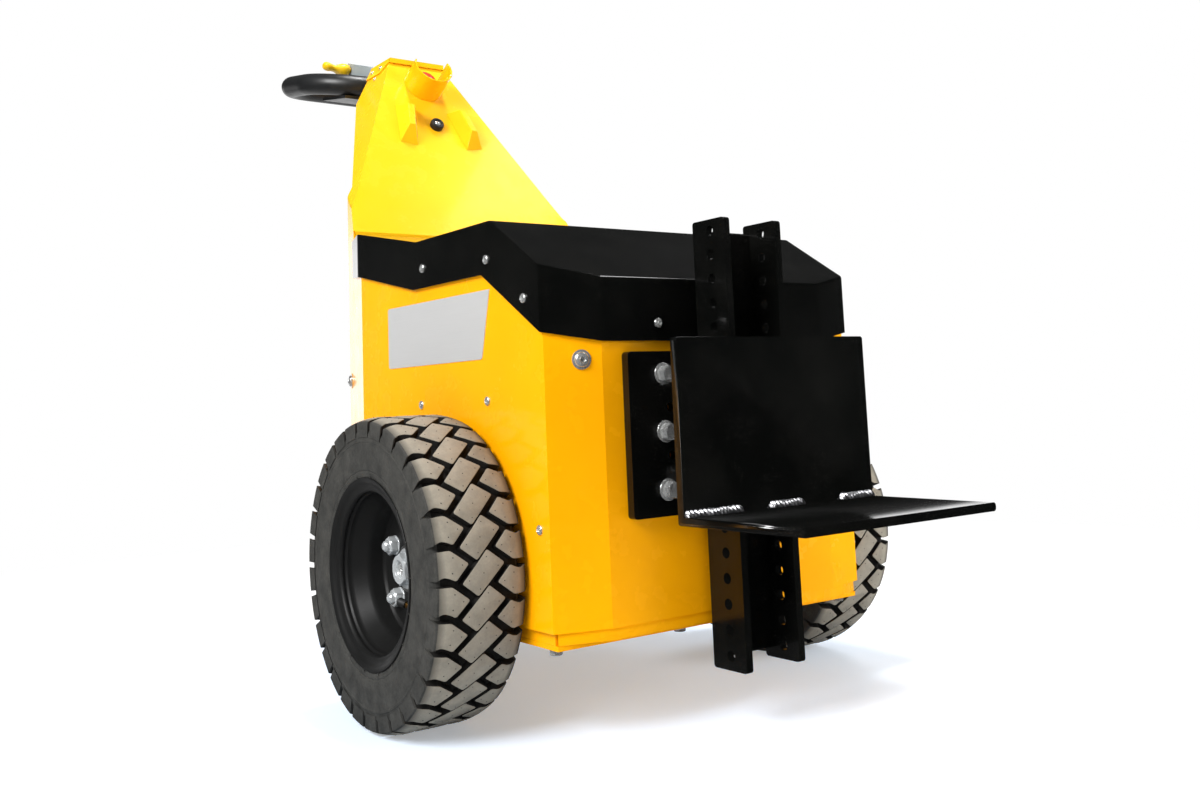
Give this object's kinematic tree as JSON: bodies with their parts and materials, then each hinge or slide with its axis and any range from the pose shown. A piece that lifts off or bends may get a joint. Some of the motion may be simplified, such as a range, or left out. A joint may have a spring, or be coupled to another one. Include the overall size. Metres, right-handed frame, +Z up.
{
  "type": "walk behind electric tug",
  "caption": "Walk-behind electric tug: two driven wheels, rear castor, leaning tower with loop handle, and a push bracket pinned to a drilled hitch column.",
  "frame": {"origin": "on the floor, under the middle of the machine", "axes": "+Z up; the hitch faces -Y, the operator stands at +Y; +X is to the right when looking at the hitch"},
  "size_m": [0.7538, 1.453, 1.0933],
  "materials": {
    "yellow_paint": "fine orange peel powder coat",
    "black_gloss": "gloss powder coat",
    "label_silver": "bare satin plate",
    "zinc": "bright zinc plate",
    "tyre_rubber": "matt industrial tread",
    "rim_black": "satin black",
    "hub_steel": "machined steel",
    "brass": "dull brass",
    "cast_case": "painted casting",
    "battery_case": "dark moulded case",
    "electric_box": "moulded",
    "castor_core": "cast core",
    "handle_black": "satin moulding",
    "console_grey": "fine grain moulding",
    "lever_yellow": "moulded",
    "stop_red": "moulded",
    "buffer_rubber": "moulded"
  },
  "bodies": {
    "root": {"chassis_frame": "yellow_paint", "base_plate": "yellow_paint", "body_shell": "yellow_paint", "rear_access_panel": "yellow_paint", "top_cowl": "black_gloss", "tower_cover": "yellow_paint", "tower_back": "yellow_paint", "tower_cap": "yellow_paint", "label_plate": "label_silver", "mount_plate": "black_gloss", "mount_plate_bolts": "zinc", "hitch_column": "black_gloss", "push_bracket": "black_gloss", "bracket_pins": "zinc", "axle_bearings": "hub_steel", "transaxle_case": "cast_case", "drive_motor": "cast_case", "motor_brake": "cast_case", "batteries": "battery_case", "battery_strap": "zinc", "motor_controller": "electric_box", "line_contactor": "electric_box", "charger": "electric_box", "castor_plate": "zinc", "castor_bearing": "hub_steel", "handle_loop": "handle_black", "handle_bracket": "handle_black", "console": "console_grey", "key_switch": "zinc", "stop_guard": "yellow_paint", "stop_switch": "electric_box", "cable_cleats": "yellow_paint", "rubber_buffer": "buffer_rubber", "buffer_screw": "zinc", "cowl_screws": "zinc", "side_screws": "zinc", "rear_panel_screws": "zinc", "cap_screws": "zinc", "shell_bolts": "zinc", "base_bolts": "zinc", "castor_bolts": "zinc"},
    "left_wheel": {"left_tyre": "tyre_rubber", "left_rim": "rim_black", "left_hub": "hub_steel", "left_wheel_nuts": "zinc", "left_valve": "brass", "left_half_shaft": "hub_steel"},
    "right_wheel": {"right_tyre": "tyre_rubber", "right_rim": "rim_black", "right_hub": "hub_steel", "right_wheel_nuts": "zinc", "right_valve": "brass", "right_half_shaft": "hub_steel"},
    "castor_swivel": {"castor_fork": "zinc", "castor_axle": "zinc"},
    "castor_wheel": {"castor_hub": "castor_core", "castor_tyre": "tyre_rubber"},
    "lever": {"thumb_lever": "lever_yellow"},
    "ignition_key": {"key": "zinc"},
    "stop_knob": {"stop_button": "stop_red"}
  },
  "joints": [
    {"name": "left_wheel_spin", "type": "hinge", "parent": "root", "child": "left_wheel", "pos_m": [-0.3172, -0.1885, 0.1925], "axis": [1, 0, 0], "continuous": true},
    {"name": "right_wheel_spin", "type": "hinge", "parent": "root", "child": "right_wheel", "pos_m": [0.3172, -0.1885, 0.1925], "axis": [1, 0, 0], "continuous": true},
    {"name": "castor_swivel_turn", "type": "hinge", "parent": "root", "child": "castor_swivel", "pos_m": [0, 0.1235, 0.212], "axis": [0, 0, 1], "continuous": true},
    {"name": "castor_wheel_roll", "type": "hinge", "parent": "castor_swivel", "child": "castor_wheel", "pos_m": [0, 0.1785, 0.08], "axis": [1, 0, 0], "continuous": true},
    {"name": "thumb_lever_turn", "type": "hinge", "parent": "root", "child": "lever", "pos_m": [0, 0.56935, 1.07645], "axis": [1, 0, 0], "range_deg": [-25, 25], "stiffness_Nm_per_rad": 0.5},
    {"name": "key_turn", "type": "hinge", "parent": "root", "child": "ignition_key", "pos_m": [0, 0.50082, 1.06661], "axis": [0, -0.3256, 0.9455], "range_deg": [-90, 0]},
    {"name": "stop_push", "type": "slide", "parent": "root", "child": "stop_knob", "axis": [0, 0.8739, -0.486], "range_m": [0, 0.004], "stiffness_N_per_m": 1500}
  ]
}
